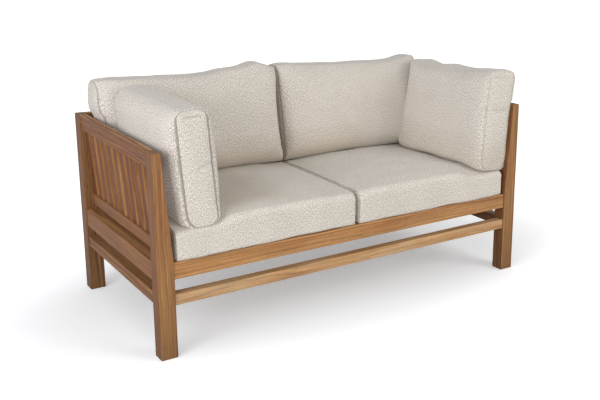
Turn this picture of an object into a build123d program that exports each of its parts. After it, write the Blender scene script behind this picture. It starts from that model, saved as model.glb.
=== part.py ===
from build123d import *
import os
from math import atan2, cos, pi, sin

os.makedirs("parts", exist_ok=True)

# A two-seat garden sofa: a teak frame with slatted arms and back, and six loose cushions.
# Millimetres. X runs across the seat, Y from the front to the back, Z up from the floor.
# The origin is on the floor, under the middle of the frame.

# Overall frame
overall_width = 1600.0
overall_depth = 800.0
overall_height = 720.0

# Legs: straight outside, with the inner face tapering away above the seat rails
leg_width = 60.0
leg_depth = 55.0
leg_top_width = 30.0
eased_edge = 2.0

# Rails between the legs
face_setback = 4.0
rail_thick = 28.0
rail_height = 58.0
side_rail_height = 66.0
rail_low = 280.0
stretcher_thick = 36.0
side_stretcher_thick = 44.0
stretcher_height = 39.0
stretcher_low = 188.0

# Arm and back panels
panel_gap = 22.0
panel_rail_thick = 28.0
panel_low_height = 45.0
panel_top_height = 60.0
slat_width = 34.0
slat_thick = 12.0
arm_slat_end_gap = 20.0
back_slat_end_gap = 32.6
slat_housing = 12.0
slat_ease = 1.5
stile_width = 60.0
arm_slat_count = 11
back_slat_count = 11

# Tenons, as shares of the pieces that carry them
tenon_long_share = 0.4
tenon_thick_share = 0.42
tenon_high_share = 0.7

# Seat platform
seat_slat_count = 13
seat_slat_width = 70.0
seat_slat_thick = 16.0
seat_slat_play = 1.0
seat_slat_end_gap = 2.0
edge_slat_width = 26.0
cleat_size = 22.0
cleat_end_gap = 2.0
bearer_thick = 28.0
bearer_height = 38.0

# Screws, all of one size
screw_radius = 2.0
screw_head_radius = 4.0
screw_head_height = 2.5
screw_length = 35.0
cleat_screw_count = 4
cleat_screw_step = 3

# Cushions
soft_gap = 0.3
padding_side = 22.0
padding_face = 12.0
foam_corner = 20.0
seat_cushion_edge = 124.0
seat_cushion_end_gap = 3.0
seat_cushion_front = 1.0
seat_round_top = 26.0
seat_round_base = 10.0
seat_crown = 27.0
seat_pull = 3.0
seat_corner = 24.0
sitting_margin = 30.0
sitting_side_gap = 15.0
sitting_back_gap = 10.0
sitting_corner = 32.0
back_cushion_height = 408.0
back_boxing = 130.0
back_front_crown = 40.0
back_rear_crown = 44.0
back_squash = 2.0
back_pull = 9.0
back_end_gap = 3.0
arm_cushion_height = 392.0
arm_cushion_front = 3.0
arm_boxing = 108.0
arm_inner_crown = 38.0
arm_outer_crown = 38.0
arm_pull = 5.0
arm_end_gap = 1.0
arm_seam_off = {"left": 74.0, "right": 22.0}
base_squash = 2.0
seam_pull = 3.0
cushion_corner = 32.0

# A crowned face rises quickly from its seam and flattens towards its middle
crown_rise_shares = (0.0, 0.42, 0.76, 0.93, 1.0)
crown_inset_shares = (0.0, 0.1, 0.28, 0.5, 0.74)
crown_corner_share = 0.4
seat_rise_shares = (0.0, 0.3, 0.64, 0.88, 1.0)
seat_inset_shares = (0.0, 0.09, 0.26, 0.48, 0.72)
round_steps = 4

# Places worked out from the sizes above
seat_level = rail_low + rail_height
leg_inner_x = overall_width / 2 - leg_width
leg_inner_y = overall_depth / 2 - leg_depth
lean_run = (leg_width - leg_top_width) / (overall_height - seat_level)
lean = atan2(leg_width - leg_top_width, overall_height - seat_level)
panel_low = seat_level + panel_gap
panel_low_top = panel_low + panel_low_height
panel_top_low = overall_height - panel_top_height
rail_inner_y = overall_depth / 2 - face_setback - rail_thick
back_face = overall_depth / 2 - face_setback - panel_rail_thick
reach_x = leg_inner_x + leg_width * tenon_long_share
reach_y = leg_inner_y + leg_depth * tenon_long_share
slat_low = panel_low_top - slat_housing
slat_high = panel_top_low + slat_housing
slat_inset = (panel_rail_thick - slat_thick) / 2
cushion_base = seat_level + soft_gap
seat_top = cushion_base + seat_cushion_edge
upper_base = seat_top + soft_gap

sides = {"left": -1, "right": 1}
ends = {"front": -1, "back": 1}
z_rail = (rail_low, seat_level)
z_side_rail = (seat_level - side_rail_height, seat_level)
z_stretcher = (stretcher_low, stretcher_low + stretcher_height)
z_panel_low = (panel_low, panel_low_top)
z_panel_top = (panel_top_low, overall_height)


def write_piece(piece, name):
    """Label a finished piece and write it to its own file."""
    piece.part.label = name
    export_step(piece.part, f"parts/{name}.step")


def inside(outer, hand, thick):
    """The span of a rail that lies just inside the outer faces of the legs."""
    face = hand * (outer / 2 - face_setback)
    return tuple(sorted((face, face - hand * thick)))


def core_of(span, share):
    """The middle share of a span, as a tenon takes of its rail."""
    middle, half = sum(span) / 2, (span[1] - span[0]) * share / 2
    return (middle - half, middle + half)


def leg_face(height):
    """How far the inner face of a leg stands from the middle plane at a height."""
    return leg_inner_x + max(0, height - seat_level) * lean_run


def block(x, y, z, mode=Mode.ADD):
    """A square block between two places along each axis."""
    with Locations((sum(x) / 2, sum(y) / 2, sum(z) / 2)):
        Box(x[1] - x[0], y[1] - y[0], z[1] - z[0], mode=mode)


def prism(outline, y, mode=Mode.ADD):
    """An outline in X and Z carried between two places along Y."""
    with BuildSketch(Plane.XZ.offset(-y[0])) as section:
        Polygon(*outline, align=None)
    extrude(section.sketch, amount=y[0] - y[1], mode=mode)


def leaning(hand, z, inset, thick):
    """The outline of an arm piece that leans outwards with the taper of the legs."""
    near = [leg_face(height) + inset for height in z]
    return [
        (hand * near[0], z[0]),
        (hand * (near[0] + thick), z[0]),
        (hand * (near[1] + thick), z[1]),
        (hand * near[1], z[1]),
    ]


def slat_places(count, bay, end_gap):
    """The spans of a row of evenly spaced slats in a bay, with a gap at each end of it."""
    first, last = min(bay) + end_gap, max(bay) - end_gap - slat_width
    pitch = (last - first) / (count - 1)
    return [(first + pitch * index, first + pitch * index + slat_width) for index in range(count)]


arm_slats = slat_places(arm_slat_count, (-leg_inner_y, leg_inner_y), arm_slat_end_gap)
stile_span = (-stile_width / 2, stile_width / 2)
back_bay = (stile_width / 2, leg_face(panel_low_top))
back_slats = {
    side: slat_places(back_slat_count, [hand * x for x in back_bay], back_slat_end_gap)
    for side, hand in sides.items()
}
z_slat = (slat_low, slat_high)


def tenon_across(y, z, reach, mode=Mode.ADD):
    """The tenons of a rail that runs across, or their mortises."""
    block((-reach, reach), core_of(y, tenon_thick_share), core_of(z, tenon_high_share), mode)


def tenon_along(x, z, mode=Mode.ADD):
    """The tenons of a rail that runs from front to back, or their mortises."""
    block(core_of(x, tenon_thick_share), (-reach_y, reach_y), core_of(z, tenon_high_share), mode)


def tenon_leaning(hand, z, mode=Mode.ADD):
    """The tenons of a leaning arm rail, or their mortises."""
    thick = panel_rail_thick * tenon_thick_share
    inset = (panel_rail_thick - thick) / 2
    outline = leaning(hand, core_of(z, tenon_high_share), inset, thick)
    prism(outline, (-reach_y, reach_y), mode)


def panel_reach(z):
    """How far the tenons of a back panel rail reach into the tapering legs."""
    face = leg_face(z[0])
    return face + (overall_width / 2 - leg_face(z[1])) * tenon_long_share


back_panel_y = inside(overall_depth, 1, panel_rail_thick)
slat_y = core_of(back_panel_y, slat_thick / panel_rail_thick)
bearer_y = (-bearer_thick / 2, bearer_thick / 2)
bearer_z = (seat_level - seat_slat_thick - bearer_height, seat_level - seat_slat_thick)
side_rail_x = {side: inside(overall_width, hand, rail_thick) for side, hand in sides.items()}
bearer_reach = side_rail_x["right"][0] + rail_thick * tenon_long_share


def bearer_tenon(mode=Mode.ADD):
    """The tenons of the centre bearer in the side rails, or their mortises."""
    block(
        (-bearer_reach, bearer_reach),
        core_of(bearer_y, tenon_thick_share),
        core_of(bearer_z, tenon_high_share),
        mode,
    )


def make_leg(side, end):
    """A leg, with a mortise for each rail that meets it."""
    hand, way = sides[side], ends[end]
    outer = hand * overall_width / 2
    face = way * overall_depth / 2
    outline = [
        (outer, 0),
        (outer, overall_height),
        (hand * leg_face(overall_height), overall_height),
        (hand * leg_inner_x, seat_level),
        (hand * leg_inner_x, 0),
    ]
    with BuildPart() as leg:
        prism(outline, sorted((face, face - way * leg_depth)))
        kinks = leg.edges().filter_by(Axis.Y).filter_by_position(
            Axis.Z, seat_level - eased_edge, seat_level + eased_edge
        )
        fillet([edge for edge in leg.edges() if edge not in kinks], eased_edge)
        tenon_across(inside(overall_depth, way, rail_thick), z_rail, reach_x, Mode.SUBTRACT)
        tenon_across(
            inside(overall_depth, way, stretcher_thick), z_stretcher, reach_x, Mode.SUBTRACT
        )
        tenon_along(side_rail_x[side], z_side_rail, Mode.SUBTRACT)
        tenon_along(
            inside(overall_width, hand, side_stretcher_thick), z_stretcher, Mode.SUBTRACT
        )
        for z in (z_panel_low, z_panel_top):
            tenon_leaning(hand, z, Mode.SUBTRACT)
            if end == "back":
                tenon_across(back_panel_y, z, panel_reach(z), Mode.SUBTRACT)
    write_piece(leg, f"leg_{end}_{side}")


for side in sides:
    for end in ends:
        make_leg(side, end)

# Screws: the slats are screwed down to the cleats, and the cleats to the rails
cleat_z = (seat_level - seat_slat_thick - cleat_size, seat_level - seat_slat_thick)
cleat_y = {
    "front": (-rail_inner_y, -rail_inner_y + cleat_size),
    "back": (rail_inner_y - cleat_size, rail_inner_y),
}
slat_run = 2 * (leg_inner_x - seat_slat_end_gap) - seat_slat_width
seat_slat_pitch = slat_run / (seat_slat_count - 1)
cleat_screw_pitch = seat_slat_pitch * cleat_screw_step
seat_slat_x = [
    seat_slat_pitch * (index - (seat_slat_count - 1) / 2) for index in range(seat_slat_count)
]
slat_screws = [
    Plane((x, sum(y) / 2, seat_level), z_dir=(0, 0, 1)) for x in seat_slat_x for y in cleat_y.values()
]
cleat_screws = {
    end: [
        Plane(
            (
                cleat_screw_pitch * (index - (cleat_screw_count - 1) / 2),
                way * (rail_inner_y - cleat_size),
                sum(cleat_z) / 2,
            ),
            z_dir=(0, -way, 0),
        )
        for index in range(cleat_screw_count)
    ]
    for end, way in ends.items()
}


def screws(places, mode=Mode.ADD):
    """Countersunk screws with their heads at the given planes, or the holes for them."""
    with Locations(*places):
        Cylinder(
            screw_radius, screw_length, align=(Align.CENTER, Align.CENTER, Align.MAX), mode=mode
        )
        Cone(
            screw_radius,
            screw_head_radius,
            screw_head_height,
            align=(Align.CENTER, Align.CENTER, Align.MAX),
            mode=mode,
        )


def make_rail_across(name, y, z, screw_places=()):
    """A rail between two legs, across the front or the back."""
    with BuildPart() as rail:
        block((-leg_inner_x, leg_inner_x), y, z)
        fillet(rail.edges().filter_by(Axis.X), eased_edge)
        tenon_across(y, z, reach_x)
        if screw_places:
            screws(screw_places, Mode.SUBTRACT)
    write_piece(rail, name)


for end, way in ends.items():
    make_rail_across(
        f"{end}_seat_rail", inside(overall_depth, way, rail_thick), z_rail, cleat_screws[end]
    )
    make_rail_across(f"{end}_stretcher", inside(overall_depth, way, stretcher_thick), z_stretcher)

for side, hand in sides.items():
    with BuildPart() as side_rail:
        block(side_rail_x[side], (-leg_inner_y, leg_inner_y), z_side_rail)
        fillet(side_rail.edges().filter_by(Axis.Y), eased_edge)
        tenon_along(side_rail_x[side], z_side_rail)
        bearer_tenon(Mode.SUBTRACT)
    write_piece(side_rail, f"{side}_seat_rail")

    stretcher_x = inside(overall_width, hand, side_stretcher_thick)
    with BuildPart() as side_stretcher:
        block(stretcher_x, (-leg_inner_y, leg_inner_y), z_stretcher)
        fillet(side_stretcher.edges().filter_by(Axis.Y), eased_edge)
        tenon_along(stretcher_x, z_stretcher)
    write_piece(side_stretcher, f"{side}_stretcher")

# Arm panels: two leaning rails with upright slats housed in them
for side, hand in sides.items():
    for level, z in (("top", z_panel_top), ("bottom", z_panel_low)):
        with BuildPart() as arm_rail:
            prism(leaning(hand, z, 0, panel_rail_thick), (-leg_inner_y, leg_inner_y))
            fillet(arm_rail.edges().filter_by(Axis.Y), eased_edge)
            tenon_leaning(hand, z)
            for y in arm_slats:
                prism(leaning(hand, z_slat, slat_inset, slat_thick), y, Mode.SUBTRACT)
        write_piece(arm_rail, f"{side}_arm_{level}_rail")

    for number, y in enumerate(arm_slats, start=1):
        with BuildPart() as arm_slat:
            prism(leaning(hand, z_slat, slat_inset, slat_thick), y)
            fillet(arm_slat.edges().filter_by(lambda edge: edge.length > slat_width), slat_ease)
        write_piece(arm_slat, f"{side}_arm_slat_{number:02d}")

# Back panel: two rails and a centre stile, with slats on each side of the stile
for level, z in (("top", z_panel_top), ("bottom", z_panel_low)):
    outline = [
        (-leg_face(z[0]), z[0]),
        (leg_face(z[0]), z[0]),
        (leg_face(z[1]), z[1]),
        (-leg_face(z[1]), z[1]),
    ]
    with BuildPart() as back_rail:
        prism(outline, back_panel_y)
        fillet(back_rail.edges().filter_by(Axis.X), eased_edge)
        tenon_across(back_panel_y, z, panel_reach(z))
        for x in back_slats["left"] + back_slats["right"]:
            block(x, slat_y, z_slat, Mode.SUBTRACT)
        block(stile_span, slat_y, z_slat, Mode.SUBTRACT)
    write_piece(back_rail, f"back_{level}_rail")

with BuildPart() as back_centre_stile:
    block(stile_span, back_panel_y, (panel_low_top, panel_top_low))
    fillet(back_centre_stile.edges().filter_by(Axis.Z), eased_edge)
    block(stile_span, slat_y, z_slat)
write_piece(back_centre_stile, "back_centre_stile")

for side in sides:
    with BuildPart() as back_slat_row:
        for x in back_slats[side]:
            block(x, slat_y, z_slat)
        fillet(back_slat_row.edges().filter_by(Axis.Z), slat_ease)
    write_piece(back_slat_row, f"back_slats_{side}")

# Seat platform: cleats, a centre bearer and slats that finish level with the rails,
# with a narrow slat between the legs that closes the gap along each side rail
for end in ends:
    with BuildPart() as seat_cleat:
        block(
            (-leg_inner_x + cleat_end_gap, leg_inner_x - cleat_end_gap), cleat_y[end], cleat_z
        )
        screws(slat_screws + cleat_screws[end], Mode.SUBTRACT)
    write_piece(seat_cleat, f"{end}_seat_cleat")

with BuildPart() as centre_bearer:
    block((side_rail_x["left"][1], side_rail_x["right"][0]), bearer_y, bearer_z)
    bearer_tenon()
write_piece(centre_bearer, "centre_bearer")

z_seat_slat = (seat_level - seat_slat_thick, seat_level)
with BuildPart() as seat_slats:
    for x in seat_slat_x:
        block(
            (x - seat_slat_width / 2, x + seat_slat_width / 2),
            (-rail_inner_y + seat_slat_play, rail_inner_y - seat_slat_play),
            z_seat_slat,
        )
    for hand in sides.values():
        rail_face = hand * side_rail_x["right"][0]
        block(
            sorted((rail_face, rail_face - hand * edge_slat_width)),
            (-leg_inner_y + seat_slat_play, leg_inner_y - seat_slat_play),
            z_seat_slat,
        )
    fillet(seat_slats.faces().filter_by(Axis.Z).edges().filter_by(Axis.Y), slat_ease)
    screws(slat_screws, Mode.SUBTRACT)
write_piece(seat_slats, "seat_slats")

with BuildPart() as seat_screws:
    screws(slat_screws + cleat_screws["front"] + cleat_screws["back"])
write_piece(seat_screws, "seat_screws")


def outline_at(plane, corners, inset, pulls, radius):
    """One level of a cushion: its corners moved in, joined by sides drawn in between them."""
    centre = Vector(*[sum(values) / len(corners) for values in zip(*corners)])
    moved = []
    for s, h in corners:
        moved.append(
            Vector(
                s - inset * (1 if s > centre.X else -1),
                h - inset * (1 if h > centre.Y else -1),
            )
        )
    with BuildSketch(plane) as level:
        with BuildLine():
            for start, end, pull in zip(moved, moved[1:] + moved[:1], pulls):
                middle = (start + end) / 2
                across = (end - start).cross(Vector(0, 0, 1)).normalized()
                if across.dot(centre - middle) < 0:
                    across = -across
                if pull > 0:
                    ThreePointArc(start, middle + across * pull, end)
                else:
                    Line(start, end)
        make_face()
        fillet(level.vertices(), radius)
    return level.sketch


def crown_levels(plane, corners, seam, height, pulls, corner, shares):
    """The levels of a crowned face, from its seam to its flattened middle."""
    rises, insets = shares
    spans = [max(values) - min(values) for values in zip(*corners)]
    half = min(spans) / 2
    levels = []
    for rise, inset in zip(rises, insets):
        levels.append(
            outline_at(
                plane.offset(seam + height * rise),
                corners,
                half * inset,
                [pull * (1 - inset) for pull in pulls],
                corner * (1 + crown_corner_share * inset),
            )
        )
    return levels


def shrunk(corners, amount):
    """Corners moved in towards each other by an amount."""
    middle = [sum(values) / len(corners) for values in zip(*corners)]
    return [
        tuple(value - amount * (1 if value > centre else -1) for value, centre in zip(point, middle))
        for point in corners
    ]


def boxed_form(plane, corners, seams, crowns, pulls):
    """A boxed cushion: a strip between two seams, and a crowned face beyond each seam."""
    seamed = shrunk(corners, seam_pull)
    crown_shares = (crown_rise_shares, crown_inset_shares)
    with BuildPart() as form:
        loft(
            [
                outline_at(plane.offset(seams[0]), seamed, 0, pulls, cushion_corner),
                outline_at(plane.offset(sum(seams) / 2), corners, 0, pulls, cushion_corner),
                outline_at(plane.offset(seams[1]), seamed, 0, pulls, cushion_corner),
            ]
        )
        for seam, crown in ((seams[0], -crowns[0]), (seams[1], crowns[1])):
            loft(crown_levels(plane, seamed, seam, crown, pulls, cushion_corner, crown_shares))
    return form.part


def foam_slab(plane, corners, levels):
    """The slab of foam in a cushion, inside the padding that gives its cover the crown."""
    outline = outline_at(
        plane.offset(levels[0]), shrunk(corners, padding_side), 0, [0] * len(corners), foam_corner
    )
    with BuildPart() as slab:
        extrude(outline, amount=levels[1] - levels[0])
    return slab.part


def make_cushion(kind, side, form, slab):
    """A cushion's padded cover and the foam slab that fills it."""
    with BuildPart() as cover:
        add(form)
        add(slab, mode=Mode.SUBTRACT)
    write_piece(cover, f"{kind}_cushion_cover_{side}")
    with BuildPart() as core:
        add(slab)
    write_piece(core, f"{kind}_cushion_core_{side}")


# The places of the cushions: the back ones rest on the back panel and stand on the seat ones
back_rest = back_face - soft_gap
back_seams = (
    back_rear_crown - back_squash - back_rest,
    back_rear_crown - back_squash - back_rest + back_boxing,
)
back_front_face = -back_seams[1] - back_front_crown
arm_inner_line = {side: leg_face(upper_base) - arm_seam_off[side] - arm_boxing for side in sides}
cushion_front = leg_inner_y + leg_depth - face_setback


def rounded_levels(level, radius, way, corners, pulls):
    """The levels of an edge that turns through a quarter circle, from its wall to its flat."""
    turns = [pi / 2 * step / (round_steps - 1) for step in range(round_steps)]
    return [
        outline_at(
            Plane.XY.offset(level - way * radius * (1 - sin(turn))),
            corners,
            radius * (1 - cos(turn)),
            pulls,
            seat_corner,
        )
        for turn in turns
    ]


def make_seat_cushion(side):
    """A seat cushion: rounded along its edges, and crowned over the part that is sat on."""
    hand = sides[side]
    near, far = hand * soft_gap / 2, hand * (leg_inner_x - seat_cushion_end_gap)
    front, back = seat_cushion_front - cushion_front, back_rest
    corners = [(near, front), (far, front), (far, back), (near, back)]
    pulls = [0, seat_pull, 0, seat_pull]
    sit_near = near + hand * sitting_margin
    sit_far = hand * (arm_inner_line["left"] - sitting_side_gap)
    sit_front, sit_back = front + sitting_margin, back_front_face - sitting_back_gap
    sitting = [
        (sit_near, sit_front),
        (sit_far, sit_front),
        (sit_far, sit_back),
        (sit_near, sit_back),
    ]
    seat_shares = (seat_rise_shares, seat_inset_shares)
    base_levels = rounded_levels(cushion_base, seat_round_base, -1, corners, pulls)
    top_levels = rounded_levels(seat_top, seat_round_top, 1, corners, pulls)
    with BuildPart() as form:
        loft(base_levels)
        loft([base_levels[0], top_levels[0]], ruled=True)
        loft(top_levels)
        loft(
            crown_levels(
                Plane.XY, sitting, seat_top, seat_crown, [0] * len(sitting), sitting_corner, seat_shares
            )
        )
    levels = (cushion_base + padding_face, seat_top - padding_face)
    make_cushion("seat", side, form.part, foam_slab(Plane.XY, corners, levels))


def make_back_cushion(side):
    """A back cushion, flat where it stands and where it rests on the panel."""
    hand = sides[side]
    low = upper_base - base_squash
    high = low + back_cushion_height
    near = hand * soft_gap / 2
    corners = [
        (near, low),
        (hand * (leg_face(low) - back_end_gap), low),
        (hand * (leg_face(high) - back_end_gap), high),
        (near, high),
    ]
    pulls = [0, back_pull, back_pull, back_pull]
    crowns = (back_rear_crown, back_front_crown)
    with BuildPart() as form:
        add(boxed_form(Plane.XZ, corners, back_seams, crowns, pulls))
        split(bisect_by=Plane.XY.offset(upper_base), keep=Keep.TOP)
        split(bisect_by=Plane.XZ.offset(-back_rest), keep=Keep.TOP)
    make_cushion("back", side, form.part, foam_slab(Plane.XZ, corners, back_seams))


def make_arm_cushion(side):
    """An arm cushion, flat where it stands and where it touches the leaning panel."""
    hand = sides[side]
    plane = Plane(
        (hand * leg_inner_x, 0, seat_level),
        x_dir=(0, hand, 0),
        z_dir=(hand * cos(lean), 0, -sin(lean)),
    )
    seams = (-arm_seam_off[side] - arm_boxing, -arm_seam_off[side])
    low = (upper_base - base_squash - seat_level + seams[0] * sin(lean)) / cos(lean)
    high = low + arm_cushion_height
    front = hand * (arm_cushion_front - cushion_front)
    back = hand * (back_front_face - arm_end_gap)
    corners = [(front, low), (back, low), (back, high), (front, high)]
    pulls = [0, arm_pull, arm_pull, arm_pull]
    crowns = (arm_inner_crown, arm_outer_crown)
    with BuildPart() as form:
        add(boxed_form(plane, corners, seams, crowns, pulls))
        split(bisect_by=Plane.XY.offset(upper_base), keep=Keep.TOP)
        split(bisect_by=plane.offset(-soft_gap), keep=Keep.BOTTOM)
    make_cushion("arm", side, form.part, foam_slab(plane, corners, seams))


for side in sides:
    make_seat_cushion(side)
    make_back_cushion(side)
    make_arm_cushion(side)
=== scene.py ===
from math import atan2, cos, pi, radians, sin

import bpy
import numpy as np
from mathutils import Matrix, Vector


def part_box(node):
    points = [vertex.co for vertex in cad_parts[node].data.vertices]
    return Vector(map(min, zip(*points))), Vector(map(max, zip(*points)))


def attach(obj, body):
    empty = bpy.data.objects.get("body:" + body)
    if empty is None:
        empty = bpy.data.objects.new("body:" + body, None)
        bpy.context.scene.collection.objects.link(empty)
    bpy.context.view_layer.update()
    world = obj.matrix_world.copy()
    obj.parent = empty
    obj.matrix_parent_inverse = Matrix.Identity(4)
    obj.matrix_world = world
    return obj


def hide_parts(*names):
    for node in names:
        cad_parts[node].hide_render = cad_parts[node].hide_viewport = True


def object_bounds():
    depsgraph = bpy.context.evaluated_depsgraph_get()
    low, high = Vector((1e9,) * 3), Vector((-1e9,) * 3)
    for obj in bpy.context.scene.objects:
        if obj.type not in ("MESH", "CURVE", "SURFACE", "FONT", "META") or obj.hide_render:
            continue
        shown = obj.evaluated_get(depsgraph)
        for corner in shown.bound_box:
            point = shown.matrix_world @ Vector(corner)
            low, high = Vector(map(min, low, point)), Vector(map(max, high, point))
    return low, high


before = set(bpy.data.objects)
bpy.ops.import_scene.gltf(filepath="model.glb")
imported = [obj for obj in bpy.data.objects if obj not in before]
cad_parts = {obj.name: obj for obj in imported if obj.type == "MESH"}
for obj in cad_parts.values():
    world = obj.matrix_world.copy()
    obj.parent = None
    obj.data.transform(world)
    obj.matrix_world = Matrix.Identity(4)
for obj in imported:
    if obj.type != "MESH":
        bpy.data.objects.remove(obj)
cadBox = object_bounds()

mm = 0.001
hands = {"left": -1, "right": 1}
# The legs' inner faces: how far out they stand at a level, how high they reach, and how far
# they lean out per rise above that level
legTaper = {"foot": 740 * mm, "level": 338 * mm, "top": 722 * mm, "run": 30 / 382}
legLean = atan2(legTaper["run"], 1)


# The camera: azimuth 0 looks along +Y, and it stands in front of the left end
photoView = {
    "place": (-1.7877, -3.0212, 1.4006),
    "azimuth": -34.0,
    "elevation": 14.13,
    "roll": 0.32,
    "focalPixels": 886.4,
    "lensMiddle": (355.2, 157.1),  # where the lens axis meets the photo
    "photoSize": (600, 400),
    "sensor": 36.0,
}


def makeCamera(view):
    # the two angles and the roll give the axes, and the lens is shifted to where its axis meets
    # the photo
    turn, tilt, roll = (radians(view[key]) for key in ("azimuth", "elevation", "roll"))
    forward = Vector((-sin(turn) * cos(tilt), cos(turn) * cos(tilt), -sin(tilt)))
    level = Vector((cos(turn), sin(turn), 0))
    raised = level.cross(forward)
    right = level * cos(roll) + raised * sin(roll)
    up = raised * cos(roll) - level * sin(roll)
    data = bpy.data.cameras.new("photoCamera")
    wide, high = view["photoSize"]
    data.sensor_width = view["sensor"]
    data.lens = view["focalPixels"] / wide * view["sensor"]
    data.shift_x = (wide / 2 - view["lensMiddle"][0]) / wide
    data.shift_y = (view["lensMiddle"][1] - high / 2) / wide
    camera = bpy.data.objects.new("photoCamera", data)
    turned = Matrix((right, up, -forward)).transposed().to_4x4()
    camera.matrix_world = Matrix.Translation(view["place"]) @ turned
    bpy.context.collection.objects.link(camera)
    bpy.context.scene.camera = camera


makeCamera(photoView)
bpy.context.scene.view_settings.view_transform = "Standard"
print("camera set")


# Colours and nodes
def linear(hexColour):
    # each channel: up to 0.04045 divided by 12.92, above it a power curve of 2.4, and alpha 1
    channels = [int(hexColour[place : place + 2], 16) / 255 for place in (1, 3, 5)]
    return [c / 12.92 if c <= 0.04045 else ((c + 0.055) / 1.055) ** 2.4 for c in channels] + [1]


def addNode(tree, kind, links=None, stops=None, **settings):
    # links maps a socket's name or number to a value or to the socket that feeds it
    made = tree.nodes.new(kind)
    for name, value in settings.items():
        setattr(made, name, value)
    if stops:
        ramp = made.color_ramp
        while len(ramp.elements) < len(stops):
            ramp.elements.new(0.5)
        for element, (place, colour) in zip(ramp.elements, stops):
            element.position = place
            element.color = linear(colour)
    for name, value in (links or {}).items():
        socket = made.inputs[name]
        if isinstance(value, bpy.types.NodeSocket):
            tree.links.new(value, socket)
        else:
            socket.default_value = value
    return made


def newMaterial(name):
    material = bpy.data.materials.new(name)
    material.use_nodes = True
    tree = material.node_tree
    tree.nodes.clear()
    return material, tree


def wear(piece, material):
    piece.data.materials.clear()
    piece.data.materials.append(material)


# Teak, oiled and worn to a satin: golden brown boards with uneven darker growth lines, fine
# open pores along the grain and a darker end grain. Real fibres and pores are finer: here they
# are as coarse as they need to be to show.
teak = {
    "patterns": {  # width and length in mm, shift, detail and roughness of each noise
        "slow": (90.0, 512.0, 0.0, 2.0, 0.5),
        "patch": (45.0, 320.0, 7.7, 2.0, 0.5),
        "streak": (7.0, 260.0, 5.3, 3.0, 0.5),
        "fibre": (2.2, 90.0, 3.1, 3.0, 0.6),
        "pore": (0.9, 16.0, 1.3, 1.0, 0.5),
    },
    "shiftRatio": 1.7,  # of a noise's second shift to its first
    "wander": 34 * mm,  # how far the growth lines are pushed about
    "ringGap": 8 * mm,
    "fray": 1.1,  # how far a fibre shifts a growth line, in gaps
    "ringTones": ("#74482C", "#A8794C", "#C09363"),  # late, middling and early wood
    "ringReach": 0.16,  # how far from the noise's middle the late and early tones lie
    "ringDetail": 3.0,
    "ringRough": 0.6,
    "patches": ("#A1683F", "#BC8F59"),  # ruddy and golden
    "patchSpan": (0.3, 0.7),
    "patchShare": 0.45,
    "fibreSpan": (0.3, 0.7),
    "fibreTone": (0.84, 1.13),
    "streakSpan": (0.32, 0.62),
    "streakTone": (0.8, 1.14),
    "poreSpan": (0.6, 0.72),
    "poreShare": (0.0, 0.55),
    "pore": "#5E3A22",
    "poreDeep": 1.4,  # how deep a pore is beside how high a fibre is
    "endSpan": (0.75, 0.95),
    "endShade": 0.62,
    # how far a face turns to look along X before it takes the painted side shade
    "sideSpan": (0.6, 0.9),
    "knotRim": 0.4,  # where a knot's eye starts to fade, and how dark it is
    "knotShare": 0.75,
    "roughness": (0.66, 0.52),  # between the fibres, and on them
    "gloss": 0.25,  # half the usual: the oil has worn off
    "bump": 0.35,
    "bumpHigh": 0.4 * mm,
}
# For a grain along X, Y or Z: the turn that lays it along Z, the two axes across it, and which
# way each of these runs after the turn
grains = {
    "X": {"turn": (0, -pi / 2, 0), "across": [2, 1], "signs": [1, -1]},
    "Y": {"turn": (pi / 2, 0, 0), "across": [0, 2], "signs": [-1, 1]},
    "Z": {"turn": (0, 0, 0), "across": [0, 1], "signs": [-1, -1]},
}


def growthLines(tree, own, patterns, bold):
    # a noise of the distance from a pith line that runs beside the board, pushed about by a
    # slower noise and frayed by the fibres
    centred = addNode(
        tree,
        "ShaderNodeVectorMath",
        {0: patterns["slow"].outputs["Color"], 1: (0.5, 0.5, 0.5)},
        operation="SUBTRACT",
    )
    pushed = addNode(
        tree,
        "ShaderNodeVectorMath",
        {0: centred.outputs[0], 1: [teak["wander"]] * 3, 2: own},
        operation="MULTIPLY_ADD",
    )
    across = addNode(
        tree, "ShaderNodeVectorMath", {0: pushed.outputs[0], 1: (1, 1, 0)}, operation="MULTIPLY"
    )
    fromPith = addNode(tree, "ShaderNodeVectorMath", {0: across.outputs[0]}, operation="LENGTH")
    frayed = addNode(
        tree,
        "ShaderNodeMath",
        {0: patterns["fibre"].outputs["Fac"], 1: teak["fray"]},
        operation="MULTIPLY",
    )
    rings = addNode(
        tree,
        "ShaderNodeMath",
        {0: fromPith.outputs["Value"], 1: 1 / teak["ringGap"], 2: frayed.outputs[0]},
        operation="MULTIPLY_ADD",
    )
    links = {
        "W": rings.outputs[0],
        "Scale": 1.0,
        "Detail": teak["ringDetail"],
        "Roughness": teak["ringRough"],
    }
    ring = addNode(tree, "ShaderNodeTexNoise", links, noise_dimensions="1D")
    reach = teak["ringReach"] / bold
    stops = list(zip((0.5 - reach, 0.5, 0.5 + reach), teak["ringTones"]))
    return addNode(tree, "ShaderNodeValToRGB", {"Fac": ring.outputs["Fac"]}, stops=stops)


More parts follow.
